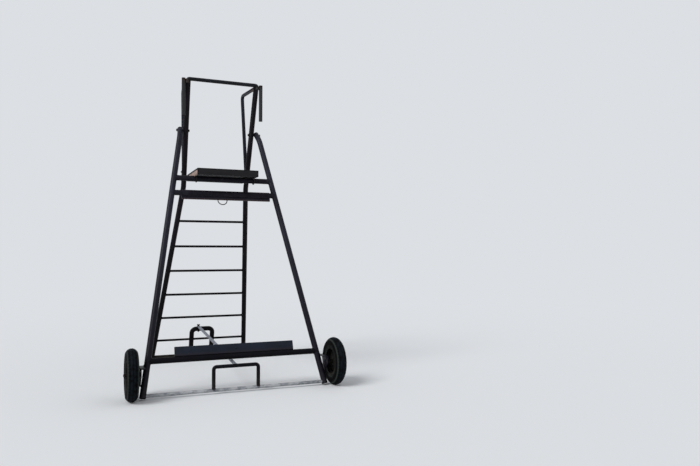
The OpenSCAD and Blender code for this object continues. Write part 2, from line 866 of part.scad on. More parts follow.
front_leg(-1);  // left_front_leg
front_leg(1);  // right_front_leg
front_crossbar(seat_bar_h);  // seat_crossbar
front_crossbar(upper_bar_h);  // upper_crossbar
front_crossbar(low_bar_h);  // lower_crossbar
bottom_bar();
upright(-1);  // left_upright
upright(1);  // right_upright
for (k = [1 : rung_count])
  rung(k);
foot_bar();
foot_plates();
pivot_bolt(-1);  // left_pivot_bolt
pivot_bolt(1);  // right_pivot_bolt
top_hoop();
side_rail(-1);  // left_side_rail
side_rail(1);  // right_side_rail
seat_boards();
seat_front_board();
seat_back_board();
seat_side_board(-1);  // seat_left_board
seat_side_board(1);  // seat_right_board
seat_rail();
seat_hooks();
upper_board();
lower_board();
board_lugs();
hanging_loop();
front_hoop();
rear_hoop();
strut();
strut_bolt();
axle_plate(-1);  // left_axle_plate
axle_plate(1);  // right_axle_plate
axle(-1);  // left_axle
axle(1);  // right_axle
tyre(-1);  // left_tyre
tyre(1);  // right_tyre
rim(-1);  // left_rim
rim(1);  // right_rim
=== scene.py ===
import json
import math
import random
import bmesh
import bpy
from mathutils import Matrix, Vector


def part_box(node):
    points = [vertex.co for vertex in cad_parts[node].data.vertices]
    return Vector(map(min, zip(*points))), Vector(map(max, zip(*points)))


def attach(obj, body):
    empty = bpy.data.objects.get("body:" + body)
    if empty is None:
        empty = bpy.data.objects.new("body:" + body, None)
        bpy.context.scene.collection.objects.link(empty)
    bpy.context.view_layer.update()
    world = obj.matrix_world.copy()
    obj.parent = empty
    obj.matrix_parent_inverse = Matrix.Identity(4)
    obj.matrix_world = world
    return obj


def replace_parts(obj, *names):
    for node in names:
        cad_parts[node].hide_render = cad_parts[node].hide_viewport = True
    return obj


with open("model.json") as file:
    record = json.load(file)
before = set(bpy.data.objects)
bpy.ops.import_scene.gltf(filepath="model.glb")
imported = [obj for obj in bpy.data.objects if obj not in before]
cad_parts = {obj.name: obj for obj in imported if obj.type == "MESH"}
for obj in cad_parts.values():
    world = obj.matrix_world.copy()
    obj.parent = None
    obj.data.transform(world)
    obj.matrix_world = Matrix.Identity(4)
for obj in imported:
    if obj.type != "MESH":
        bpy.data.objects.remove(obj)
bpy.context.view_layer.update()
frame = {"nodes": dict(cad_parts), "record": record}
scene = bpy.context.scene
scene.view_settings.view_transform = "Standard"
slotOf = {row["node"]: row["material_slot"] for row in frame["record"]["subparts"]}
print("frame loaded:", len(frame["nodes"]), "nodes")

# Camera: the spot where the photograph was taken, in metres and degrees, and its lens and
# sensor in mm
view = {"place": (-1.2281, -6.0220, 1.1394), "turnRight": 23.09, "tiltUp": 1.695, "lens": 33.02,
        "sensor": 36}


def setCamera():
    camera = bpy.data.objects.new("camera", bpy.data.cameras.new("camera"))
    camera.data.lens = view["lens"]
    camera.data.sensor_width = view["sensor"]
    camera.location = view["place"]
    camera.rotation_euler = (math.radians(90 + view["tiltUp"]), 0, -math.radians(view["turnRight"]))
    scene.collection.objects.link(camera)
    scene.camera = camera


# Shared places, in metres and degrees: the middle of the right wheel, and the lean of both
# boards, which follow the legs, with the way up along them
wheelMiddle = (0.8300, -0.8480, 0.2020)
boardLean = 19.43
boardUp = (0, math.sin(math.radians(boardLean)), math.cos(math.radians(boardLean)))


# Materials


def hexColour(text):
    parts = [int(text[i:i + 2], 16) / 255 for i in (1, 3, 5)]
    return [c / 12.92 if c <= 0.04045 else ((c + 0.055) / 1.055) ** 2.4 for c in parts] + [1]


# Adds a node and gives back one of its outputs. An input is a value, a hex colour or the
# output of another node.
def addNode(tree, kind, inputs, output=0, **settings):
    node = tree.nodes.new(kind)
    for name, value in settings.items():
        setattr(node, name, value)
    for name, value in inputs.items():
        if isinstance(value, bpy.types.NodeSocket):
            tree.links.new(value, node.inputs[name])
        else:
            node.inputs[name].default_value = hexColour(value) if isinstance(value, str) else value
    return node.outputs[output]


def newMaterial(name, specular, metallic=0.0):
    material = bpy.data.materials.new(name)
    material.use_nodes = True
    tree = material.node_tree
    shader = tree.nodes["Principled BSDF"]
    shader.inputs["Metallic"].default_value = metallic
    shader.inputs["Specular IOR Level"].default_value = specular
    return material, tree, shader, addNode(tree, "ShaderNodeTexCoord", {}, "Object")


# Patches of noise, with their size in mm: each starts softly at one level of the noise and
# is full at another
def patches(tree, place, size, edge, detail=4, roughness=0.5):
    noise = addNode(tree, "ShaderNodeTexNoise", {
        "Vector": place, "Scale": 1000 / size, "Detail": detail, "Roughness": roughness})
    return addNode(tree, "ShaderNodeMapRange", {"Value": noise, "From Min": edge[0], "From Max": edge[1]},
                   interpolation_type="SMOOTHSTEP")


# A mask that starts softly at the first value, is full at the last and stays inside another
def softMask(tree, value, first, last, inside=1.0):
    edge = addNode(tree, "ShaderNodeMapRange", {"Value": value, "From Min": first, "From Max": last},
                   interpolation_type="SMOOTHSTEP")
    return addNode(tree, "ShaderNodeMath", {0: edge, 1: inside}, operation="MULTIPLY")


# Lays a tone over a colour as far as the mask goes, or only a share of it. The Mix node
# has its two colours in slots 6 and 7 and the mixed one in slot 2.
def layOver(tree, colour, tone, mask, share=1.0):
    part = addNode(tree, "ShaderNodeMath", {0: mask, 1: share}, operation="MULTIPLY")
    return addNode(tree, "ShaderNodeMix", {0: part, 6: colour, 7: tone}, 2, data_type="RGBA")


# Relief from masks, each with its depth in mm, and roughness between two levels along a mask
def finishSurface(tree, shader, colour, relief, rough, levels):
    tree.links.new(colour, shader.inputs["Base Color"])
    normal = None
    for mask, depth in relief:
        inputs = {"Strength": 1.0, "Distance": depth / 1000, "Height": mask}
        if normal:
            inputs["Normal"] = normal
        normal = addNode(tree, "ShaderNodeBump", inputs)
    tree.links.new(normal, shader.inputs["Normal"])
    spread = addNode(tree, "ShaderNodeMapRange", {"Value": rough, "To Min": levels[0], "To Max": levels[1]})
    tree.links.new(spread, shader.inputs["Roughness"])


sandDust = "#6d675c"


# Brushed enamel on steel tube, dulled by salt and sun: slow drifts and chalky patches, faint
# brush streaks, other tones below some heights, which are painted shade near the ground and
# painted light on the legs that hang from the top bar, rust in small chips and at stained
# spots, where it is full within 0.3 of their reach, and a little sand dust near the ground
def agedEnamel(name, look):
    material, tree, shader, place = newMaterial(name, specular=look["specular"])
    brushed = addNode(tree, "ShaderNodeMapping", {"Vector": place, "Scale": (1, 1, 0.12)})
    height = addNode(tree, "ShaderNodeSeparateXYZ", {"Vector": place}, "Z")
    drift = patches(tree, place, size=look["driftSize"], edge=(0.38, 0.62))
    streak = patches(tree, brushed, size=look["streakSize"], edge=(0.4, 0.66), detail=3)
    chalk = patches(tree, place, size=look["chalkSize"], edge=(0.52, 0.7), detail=5, roughness=0.6)
    chip = patches(tree, place, size=look["chipSize"], edge=look["chipEdge"], detail=6, roughness=0.55)
    mottle = patches(tree, place, size=5, edge=(0.35, 0.65), detail=3)
    worn = layOver(tree, look["rust"], look["darkRust"], mottle)
    colour = layOver(tree, look["paint"], look["shade"], drift)
    colour = layOver(tree, colour, look["streak"], streak, share=0.35)
    colour = layOver(tree, colour, look["chalk"], chalk, share=0.4)
    # Tones below set heights: painted shade near the ground, and painted light on hanging legs
    for tone, top, bottom in look["below"]:
        colour = layOver(tree, colour, tone, softMask(tree, height, top, bottom), share=0.75)
    for point, reach in look["stains"]:
        away = addNode(tree, "ShaderNodeVectorMath", {0: place, 1: point}, "Value", operation="DISTANCE")
        ragged = patches(tree, place, size=14, edge=(0.42, 0.6), detail=6, roughness=0.6)
        colour = layOver(tree, colour, worn, softMask(tree, away, reach, reach * 0.3, ragged), share=0.85)
    colour = layOver(tree, colour, worn, chip)
    settled = patches(tree, place, size=40, edge=(0.3, 0.6), detail=6, roughness=0.6)
    dust = softMask(tree, height, look["dustTop"], 0.0, settled)
    colour = layOver(tree, colour, sandDust, dust, share=look["dust"])
    grit = patches(tree, place, size=3, edge=(0.3, 0.7), detail=2)
    whole = addNode(tree, "ShaderNodeMath", {0: 1.0, 1: chip}, operation="SUBTRACT")
    rough = addNode(tree, "ShaderNodeMath", {0: chalk, 1: chip}, operation="MAXIMUM")
    finishSurface(tree, shader, colour, relief=[(streak, 0.06), (grit, 0.03), (whole, 0.25)],
                  rough=rough, levels=(look["gloss"], 0.68))
    return material


# Hot-dip zinc gone dull: large soft spangles, patches of white bloom and a few stains
def weatheredZinc(name, look):
    material, tree, shader, place = newMaterial(name, specular=0.4, metallic=0.4)
    spangle = addNode(tree, "ShaderNodeTexVoronoi", {
        "Vector": place, "Scale": 1000 / look["spangleSize"]}, "Color")
    tone = addNode(tree, "ShaderNodeSeparateColor", {"Color": spangle}, "Red")
    bloom = patches(tree, place, size=60, edge=(0.42, 0.6), detail=6, roughness=0.6)
    stain = patches(tree, place, size=18, edge=(0.64, 0.7), detail=6, roughness=0.55)
    grit = patches(tree, place, size=4, edge=(0.3, 0.7), detail=2)
    colour = layOver(tree, look["dull"], look["bright"], tone)
    colour = layOver(tree, colour, look["bloom"], bloom, share=0.7)
    colour = layOver(tree, colour, look["stain"], stain, share=0.7)
    finishSurface(tree, shader, colour, relief=[(grit, 0.05), (stain, 0.08)], rough=bloom,
                  levels=(0.42, 0.62))
    return material


# Bare steel fasteners, browned all over: two tones of rust with darker pits
def rustedSteel(name, look):
    material, tree, shader, place = newMaterial(name, specular=0.2, metallic=0.3)
    tone = patches(tree, place, size=12, edge=(0.4, 0.6), detail=5, roughness=0.6)
    pit = patches(tree, place, size=2.5, edge=(0.52, 0.62), detail=3)
    colour = layOver(tree, look["steel"], look["rust"], tone)
    colour = layOver(tree, colour, look["pit"], pit)
    finishSurface(tree, shader, colour, relief=[(pit, 0.12)], rough=tone, levels=(0.5, 0.8))
    return material


# Softwood left bare: fine grain, soft bands, hairline cracks and grey drift, with painted
# shade in a near-black tone on its edges and on the inner side. The painted shade ends in a
# line that wanders by up to 3 mm.
def bareTimber(name, look):
    material, tree, shader, place = newMaterial(name, specular=0.3)
    along = addNode(tree, "ShaderNodeMapping", {"Vector": place, "Scale": look["grainScale"]})
    grain = patches(tree, along, size=4, edge=(0.36, 0.66), detail=5, roughness=0.6)
    crack = patches(tree, along, size=7, edge=(0.66, 0.7), detail=2)
    band = patches(tree, along, size=22, edge=(0.4, 0.62), detail=3)
    drift = patches(tree, place, size=90, edge=(0.4, 0.64), detail=3)
    colour = layOver(tree, look["timber"], look["grey"], drift)
    colour = layOver(tree, colour, look["band"], band, share=0.45)
    colour = layOver(tree, colour, look["line"], grain, share=0.35)
    colour = layOver(tree, colour, look["crack"], crack)
    wander = patches(tree, place, size=9, edge=(0.2, 0.8))
    ragged = addNode(tree, "ShaderNodeMath", {0: wander, 1: 0.003}, operation="MULTIPLY")
    # Painted shade: the near-black tone laid over edges, ends, undersides and inner sides
    for axis, first, last in look["shadedParts"]:
        part = addNode(tree, "ShaderNodeSeparateXYZ", {"Vector": place}, axis)
        part = addNode(tree, "ShaderNodeMath", {0: part}, operation="ABSOLUTE")
        part = addNode(tree, "ShaderNodeMath", {0: part, 1: ragged}, operation="ADD")
        colour = layOver(tree, colour, look["paint"], softMask(tree, part, first, last))
    finishSurface(tree, shader, colour, relief=[(grain, 0.2), (crack, 0.5)], rough=drift,
                  levels=(0.66, 0.82))
    return material


# Oil paint on board: the grain shows as a low relief, high spots are rubbed lighter, small
# chips show the wood, and each band changes the tone from one distance along a direction
# to another, as at a dark border
def boardPaint(name, look):
    material, tree, shader, place = newMaterial(name, specular=0.15)
    along = addNode(tree, "ShaderNodeMapping", {"Vector": place, "Scale": (0.05, 1, 1)})
    drift = patches(tree, place, size=look["driftSize"], edge=(0.36, 0.64))
    grain = patches(tree, along, size=5, edge=(0.35, 0.66), roughness=0.6)
    rubbed = patches(tree, along, size=16, edge=(0.62, 0.72), detail=6, roughness=0.6)
    chip = patches(tree, place, size=7, edge=(0.72, 0.76))
    colour = layOver(tree, look["paint"], look["shade"], drift)
    colour = layOver(tree, colour, look["line"], grain, share=0.25)
    colour = layOver(tree, colour, look["rubbed"], rubbed, share=0.5)
    colour = layOver(tree, colour, look["wood"], chip)
    for direction, first, last, tone, share in look["bands"]:
        part = addNode(tree, "ShaderNodeVectorMath", {0: place, 1: direction}, "Value",
                       operation="DOT_PRODUCT")
        part = addNode(tree, "ShaderNodeMath", {0: part}, operation="ABSOLUTE")
        colour = layOver(tree, colour, tone, softMask(tree, part, first, last), share=share)
    whole = addNode(tree, "ShaderNodeMath", {0: 1.0, 1: rubbed}, operation="SUBTRACT")
    finishSurface(tree, shader, colour, relief=[(grain, 0.15), (whole, 0.12)], rough=rubbed,
                  levels=(0.48, 0.7))
    return material


# Old barrow tyre: near-black rubber with grey bloom and a little dust, a painted blue-grey
# sheen round its crown and a painted grey highlight on each shoulder of the tread. Their
# edges are in metres from the middle of the tyre.
def tyreRubber(name, look):
    material, tree, shader, place = newMaterial(name, specular=0.03)
    across = addNode(tree, "ShaderNodeSeparateXYZ", {"Vector": place}, "X")
    across = addNode(tree, "ShaderNodeMath", {0: across}, operation="ABSOLUTE")
    across = addNode(tree, "ShaderNodeMath", {0: across, 1: wheelMiddle[0]}, operation="SUBTRACT")
    across = addNode(tree, "ShaderNodeMath", {0: across}, operation="ABSOLUTE")
    bloom = patches(tree, place, size=50, edge=(0.4, 0.66), detail=5, roughness=0.6)
    dust = patches(tree, place, size=12, edge=(0.58, 0.7), detail=6, roughness=0.6)
    # Painted sheen on the crown and painted highlights on the shoulders
    crownSheen = softMask(tree, across, *look["sheenEdge"], patches(tree, place, size=30, edge=(0.3, 0.6)))
    shoulder = softMask(tree, across, *look["shoulderHighlightInside"], softMask(tree, across, *look["shoulderHighlightOutside"]))
    colour = layOver(tree, look["rubber"], look["bloom"], bloom)
    colour = layOver(tree, colour, look["dust"], dust, share=0.3)
    colour = layOver(tree, colour, look["crown"], crownSheen, share=0.5)
    colour = layOver(tree, colour, look["line"], shoulder, share=0.8)
    grit = patches(tree, place, size=3, edge=(0.3, 0.7), detail=3)
    finishSurface(tree, shader, colour, relief=[(grit, 0.08)], rough=bloom, levels=(0.62, 0.85))
    return material


finishes = {
    # Front legs, board lugs and axle brackets: slate blue, and nearly black low down, partly
    # darker paint and partly painted shade near the ground
    "frame_paint": agedEnamel("agedSlateEnamel", {
        "paint": "#1f1f2a", "shade": "#181720", "streak": "#292a35", "chalk": "#30323d", "rust": "#4a3022",
        "darkRust": "#291c16", "driftSize": 240, "streakSize": 9, "chalkSize": 60, "chipSize": 13,
        "chipEdge": (0.69, 0.725), "dustTop": 0.22, "dust": 0.06, "gloss": 0.42, "specular": 0.11,
        "below": [("#0d0b14", 1.6, 0.3)], "stains": []}),
    # Crossbars and front hoop: navy, duller than the legs, partly as painted shade on bars seen
    # from below, and black low down, partly darker paint and partly painted shade near the ground
    "bar_paint_and_shade": agedEnamel("agedNavyEnamelAndShade", {
        "paint": "#1e1d25", "shade": "#15151b", "streak": "#292831", "chalk": "#33323b", "rust": "#43291d",
        "darkRust": "#241812", "driftSize": 180, "streakSize": 9, "chalkSize": 60, "chipSize": 13,
        "chipEdge": (0.68, 0.715), "dustTop": 0.20, "dust": 0.15, "gloss": 0.42, "specular": 0.06,
        "below": [("#040406", 1.3, 0.4)], "stains": []}),
    # Top bar: dark grey, darkened as painted shade on a bar seen from below, with rust at both
    # corners, and paler on the legs that hang from it as painted light
    "hoop_paint_light_and_shade": agedEnamel("agedGreyEnamelLightAndShade", {
        "paint": "#14171c", "shade": "#0f1115", "streak": "#1d2126", "chalk": "#262a2e", "rust": "#4a3022",
        "darkRust": "#291c16", "driftSize": 160, "streakSize": 9, "chalkSize": 50, "chipSize": 13,
        "chipEdge": (0.69, 0.725), "dustTop": 0.20, "dust": 0.3, "gloss": 0.42, "specular": 0.14,
        "below": [("#333434", 2.692, 2.680)],
        "stains": [((-0.3395, -0.160, 2.680), 0.045), ((0.3395, -0.160, 2.690), 0.035)]}),
    # Ladder, seat rail and rear hoop: a warm black, and plain black low down as painted shade
    # near the ground
    "ladder_paint": agedEnamel("agedBlackEnamel", {
        "paint": "#1a171c", "shade": "#131115", "streak": "#241f24", "chalk": "#332d33", "rust": "#6e3a24",
        "darkRust": "#331a12", "driftSize": 200, "streakSize": 8, "chalkSize": 50, "chipSize": 12,
        "chipEdge": (0.69, 0.725), "dustTop": 0.20, "dust": 0.15, "gloss": 0.4, "specular": 0.06,
        "below": [("#030204", 1.6, 0.6)], "stains": []}),
    # Side rails: blue-black, with rust near their front ends
    "rail_paint": agedEnamel("agedBlueBlackEnamel", {
        "paint": "#1c1e28", "shade": "#15161e", "streak": "#252832", "chalk": "#31353e", "rust": "#7a3f26",
        "darkRust": "#3a1d13", "driftSize": 200, "streakSize": 8, "chalkSize": 50, "chipSize": 12,
        "chipEdge": (0.69, 0.725), "dustTop": 0.20, "dust": 0.15, "gloss": 0.4, "specular": 0.12,
        "below": [], "stains": [((-0.309, -0.060, 2.691), 0.04), ((0.309, -0.050, 2.691), 0.06)]}),
    # Rims: flat black, worn and chalky
    "rim_paint": agedEnamel("agedRimEnamel", {
        "paint": "#0f0f0f", "shade": "#0b0b0b", "streak": "#1c1c1b", "chalk": "#2d2c2a", "rust": "#33231a",
        "darkRust": "#1c1410", "driftSize": 90, "streakSize": 12, "chalkSize": 30, "chipSize": 11,
        "chipEdge": (0.68, 0.715), "dustTop": 0.30, "dust": 0.15, "gloss": 0.45, "specular": 0.04,
        "below": [], "stains": []}),
    # Bottom bar: the palest metal, with brown stains
    "galvanised": weatheredZinc("weatheredZinc", {
        "dull": "#6e7277", "bright": "#9a9da1", "bloom": "#bcbec0", "stain": "#4c4038", "spangleSize": 14}),
    # Strut: blue-grey and duller, darkened as painted shade, with green-grey stains
    "shaded_strut_zinc": weatheredZinc("shadedBlueGreyZinc", {
        "dull": "#51565b", "bright": "#6c707a", "bloom": "#888b97", "stain": "#424b46", "spangleSize": 14}),
    # Bolts, nuts, screws, axles, hooks and the wire loop: dark, with a brown cast
    "fasteners": rustedSteel("rustedSteel", {"steel": "#1c1a1b", "rust": "#2d211c", "pit": "#131010"}),
    # Side boards of the seat: warm bare wood on the outside only, with painted shade on their
    # edges and inner side
    "seat_timber": bareTimber("bareSideTimber", {
        "timber": "#b0978b", "grey": "#9f8d84", "band": "#9c8074", "line": "#806a60", "crack": "#4a3c36",
        "paint": "#100e11", "grainScale": (1, 0.05, 1), "shadedParts": [("X", 0.2685, 0.2670)]}),
    # Top boards of the seat: greyer bare wood, with painted shade at their ends and below their
    # top faces
    "seat_top": bareTimber("bareTopTimber", {
        "timber": "#a8948a", "grey": "#93867f", "band": "#8f7a70", "line": "#75645c", "crack": "#4a3c36",
        "paint": "#100e11", "grainScale": (0.05, 1, 1),
        "shadedParts": [("X", 0.2670, 0.2680), ("Z", 1.8675, 1.8660)]}),
    # Front and back boards of the seat: dark grey with a black top edge and black ends
    "seat_paint": boardPaint("greyBoardPaint", {
        "paint": "#1f1e20", "shade": "#171719", "line": "#131214", "rubbed": "#323132", "wood": "#4d453f",
        "driftSize": 120,
        "bands": [((0, 0, 1), 1.8600, 1.8615, "#060507", 1.0),
                  ((1, 0, 0), 0.2600, 0.2615, "#060507", 1.0)]}),
    # Lower board: slate blue, purple-grey low down and nearly black at its lower edge
    "board_paint": boardPaint("slateBoardPaint", {
        "paint": "#161e2b", "shade": "#111823", "line": "#0e131b", "rubbed": "#262d38", "wood": "#4d453f",
        "driftSize": 200,
        "bands": [(boardUp, 0.0740, 0.0500, "#241f27", 0.65),
                  (boardUp, 0.0465, 0.0440, "#08070a", 1.0)]}),
    # Upper board: purple-grey, browner at its lower edge
    "upper_board_paint": boardPaint("purpleBoardPaint", {
        "paint": "#2e2d38", "shade": "#25242e", "line": "#1c1a22", "rubbed": "#3c3944", "wood": "#4d453f",
        "driftSize": 140, "bands": [(boardUp, 1.4500, 1.4410, "#3f2a28", 0.6)]}),
    # Tyres and valves: near-black that hardly shines, with a painted sheen on the crown and
    # painted highlights on the shoulders
    "tyre": tyreRubber("tyreRubber", {
        "rubber": "#060607", "bloom": "#0d0e0f", "dust": "#2c2a27", "crown": "#1d242b", "line": "#323735",
        "sheenEdge": (0.0340, 0.0200), "shoulderHighlightInside": (0.0300, 0.0345), "shoulderHighlightOutside": (0.0430, 0.0395)}),
}
# Pieces whose finish isn't the one of their slot
# The bar, hoop and strut finishes hold painted shade, and the hoop's also painted light
finishOf = {"seat_crossbar": "bar_paint_and_shade", "upper_crossbar": "bar_paint_and_shade", "lower_crossbar": "bar_paint_and_shade",
            "front_hoop": "bar_paint_and_shade", "top_hoop": "hoop_paint_light_and_shade", "strut": "shaded_strut_zinc",
            "left_side_rail": "rail_paint", "right_side_rail": "rail_paint", "seat_boards": "seat_top",
            "upper_board": "upper_board_paint"}
print("materials made:", len(finishes))


def dressFrame():
    for name, piece in frame["nodes"].items():
        piece.data.materials.clear()
        piece.data.materials.append(finishes[finishOf.get(name, slotOf[name])])


# New pieces


# Doubles closer than this in metres are merged, and an edge past this angle stays sharp
meshing = {"merge": 0.00002, "sharp": 35}


# Turns a bmesh into a finished piece that rides on a body
def finishPiece(name, bm, slot, body="frame", finish=None):
    bmesh.ops.remove_doubles(bm, verts=bm.verts, dist=meshing["merge"])
    bmesh.ops.recalc_face_normals(bm, faces=bm.faces)
    mesh = bpy.data.meshes.new(name)
    bm.to_mesh(mesh)
    bm.free()
    mesh.shade_smooth()
    mesh.set_sharp_from_angle(angle=math.radians(meshing["sharp"]))
    mesh.materials.append(finishes[finish or slot])
    piece = bpy.data.objects.new(name, mesh)
    scene.collection.objects.link(piece)
    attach(piece, body)
    return piece


# A point of the right half, or its mirror image on the left
def onSide(point, side):
    return Vector(point) * Vector((side, 1, 1))


# +Z of what is made turns along the direction, from the place
def matrixAlong(place, direction):
    return Matrix.Translation(place) @ Vector(direction).to_track_quat("Z", "Y").to_matrix().to_4x4()


# The axes of what is made, as columns, from the place
def matrixOf(place, x, y, z):
    return Matrix.Translation(place) @ Matrix((x, y, z)).transposed().to_4x4()


# An open ring to spin or extrude, as its vertices and its edges, which keep their order
def addRing(bm, sides, radius, matrix):
    verts = bmesh.ops.create_circle(bm, segments=sides, radius=radius, matrix=matrix)["verts"]
    return verts, list(dict.fromkeys(edge for vert in verts for edge in vert.link_edges))


# A filled disc to spin, as a list of its one face
def addDisc(bm, sides, radius, matrix):
    verts = bmesh.ops.create_circle(bm, cap_ends=True, segments=sides, radius=radius, matrix=matrix)["verts"]
    return [verts[0].link_faces[0]]


def nodeMesh(node):
    bm = bmesh.new()
    bm.from_mesh(frame["nodes"][node].data)
    bmesh.ops.remove_doubles(bm, verts=bm.verts, dist=meshing["merge"])
    return bm


# How far the edges of boards and plates are rounded over, in metres. Faces that meet
# within the flat angle become one, and edges past the corner angle are rounded.
rounding = {"boardWidth": 0.0022, "plateWidth": 0.0010, "flat": 1, "corner": 50,
            "boards": ("lower_board", "seat_front_board", "seat_back_board", "seat_left_board",
                       "seat_right_board", "seat_boards", "upper_board"),
            "plates": ("board_lugs", "foot_plates", "left_axle_plate", "right_axle_plate")}


# A board or plate with its sharp edges rounded over
def softenNode(node, width):
    bm = nodeMesh(node)
    bmesh.ops.dissolve_limit(bm, angle_limit=math.radians(rounding["flat"]), verts=bm.verts, edges=bm.edges)
    corners = [edge for edge in bm.edges if edge.calc_face_angle(0) > math.radians(rounding["corner"])]
    bmesh.ops.bevel(bm, geom=corners, offset=width, segments=2, profile=0.5, affect="EDGES", material=-1)
    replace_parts(finishPiece(node + "_worn", bm, slotOf[node], finish=finishOf.get(node)), node)


bentTubes = ("left_front_leg", "right_front_leg", "left_upright", "right_upright", "left_side_rail",
             "right_side_rail")


# A bent tube with its facets shaded smooth
def smoothNode(node):
    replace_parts(finishPiece(node + "_smooth", nodeMesh(node), slotOf[node], finish=finishOf.get(node)), node)


# Tube lines of the right half, in metres: two points and a radius
tubes = {
    "leg": ((0.7450, -0.8300, 0.0310), (0.4400, -0.2070, 1.7970), 0.025),
    "uprightLow": ((0.4855, 1.0100, 0.0302), (0.2990, 0.1810, 1.7570), 0.024),
    "uprightHigh": ((0.2990, 0.1810, 1.7570), (0.3150, -0.1440, 2.6920), 0.024),
    "bottomBar": ((0, -0.8300, 0.0310), (1, -0.8300, 0.0310), 0.014),
    "footBar": ((0, 1.0100, 0.0302), (1, 1.0100, 0.0302), 0.024),
    "topBar": ((0, -0.1570, 2.7040), (1, -0.1570, 2.7040), 0.017),
    "hoopBar": ((0, -0.8300, 0.2170), (1, -0.8300, 0.2170), 0.015),
}


# A tube's first point, its direction and its radius
def tubeLine(name, side=1):
    first, second, radius = tubes[name]
    start = onSide(first, side)
    return start, (onSide(second, side) - start).normalized(), radius


# Where a tube's line passes a height
def pointAt(name, side, height):
    start, direction, radius = tubeLine(name, side)
    return start + direction * ((height - start.z) / direction.z)


# Weld beads, in metres. A bead swells and shrinks by the share named ripple: so many times
# round a ring, from a random phase of up to so many radians, and by so many radians per
# metre along a seam.
weld = {"sides": 8, "steps": 48, "ripples": 19, "ripple": 0.16, "big": 0.0035, "small": 0.0027, "seed": 7,
        "phase": 6, "seamSteps": 24, "seamRipple": 1100}


# How far along the axis the outermost tube surface lies from a point
def reachOf(point, axis, against):
    reach = 0.0
    for start, direction, radius in against:
        across = axis - axis.dot(direction) * direction
        off = point - start
        off = off - off.dot(direction) * direction
        a, b = across.length_squared, across.dot(off)
        spread = b * b - a * (off.length_squared - radius * radius)
        reach = max(reach, (-b + math.sqrt(max(spread, 0))) / a)
    return reach


# A ring of weld round the end of a bar, pushed along the bar on to the tubes that it meets
def addWeld(bm, start, axis, radius, against, bead):
    axis = Vector(axis).normalized()
    out = axis.orthogonal().normalized()
    other = axis.cross(out)
    known = set(bm.verts)
    section = matrixOf(start + out * radius, out, axis, out.cross(axis))
    verts, edges = addRing(bm, weld["sides"], bead, section)
    bmesh.ops.spin(bm, geom=verts + edges, cent=start, axis=axis, angle=2 * math.pi, steps=weld["steps"],
                   use_merge=True)
    phase = random.uniform(0, weld["phase"])
    for vert in [v for v in bm.verts if v not in known]:
        off = vert.co - start
        flat = off - off.dot(axis) * axis
        angle = math.atan2(flat.dot(other), flat.dot(out))
        rim = flat.normalized() * radius
        swell = 1 + weld["ripple"] * math.sin(weld["ripples"] * angle + phase)
        vert.co = start + rim + reachOf(start + rim, axis, against) * axis + (off - rim) * swell


# A straight bead
def addSeam(bm, start, direction, length, bead):
    direction = Vector(direction)
    known = set(bm.verts)
    faces = addDisc(bm, weld["sides"], bead, matrixAlong(start, direction))
    bmesh.ops.spin(bm, geom=faces, cent=start, axis=direction, dvec=direction * length / weld["seamSteps"],
                   angle=0, steps=weld["seamSteps"])
    for vert in [v for v in bm.verts if v not in known]:
        along = (vert.co - start).dot(direction)
        line = start + direction * along
        vert.co = line + (vert.co - line) * (1 + weld["ripple"] * math.sin(weld["seamRipple"] * along))


# Heights of the three crossbars on the legs, and where the front hoop stands on its bar
frameWelds = {"crossbars": (1.7970, 1.6610, 0.2810), "crossbarRadius": 0.024, "hoopLegs": (-0.2020, 0.1640)}


def addFrameWelds():
    bm = bmesh.new()
    bottomBar, hoopRadius = tubeLine("bottomBar"), tubes["hoopBar"][2]
    for side in (-1, 1):
        leg = tubeLine("leg", side)
        for height in frameWelds["crossbars"]:
            addWeld(bm, pointAt("leg", side, height), (-side, 0, 0), frameWelds["crossbarRadius"], [leg],
                    weld["big"])
        legEnd = pointAt("leg", side, tubes["leg"][0][2])
        addWeld(bm, legEnd, (-side, 0, 0), bottomBar[2], [leg], weld["small"])
    for x in frameWelds["hoopLegs"]:
        addWeld(bm, bottomBar[0] + Vector((x, 0, 0)), (0, 0, 1), hoopRadius, [bottomBar], weld["small"])
    finishPiece("frame_welds", bm, "frame_paint")


# Heights, places and radii of what is welded to the ladder, and the rear hoop's lean in
# degrees. The side rail runs from its front to a corner and down to its end, and the seam
# joins a hanging leg to the top bar.
ladder = {"rungs": 7, "rungFirst": 0.2190, "rungPitch": 0.2440, "rungRadius": 0.011, "seatRail": 1.8290,
          "seatRailRadius": 0.014, "hoopLegs": (-0.0885, 0.1265), "hoopRadius": 0.024, "hoopLean": 15.95,
          "railFront": (0.3149, -0.1426, 2.6880), "railCorner": (0.2920, 0.3120, 2.7060),
          "railEnd": (0.3008, 0.1680, 1.8640), "railRadius": 0.017, "seam": (0.3392, -0.1650, 2.6650),
          "seamLength": 0.034}


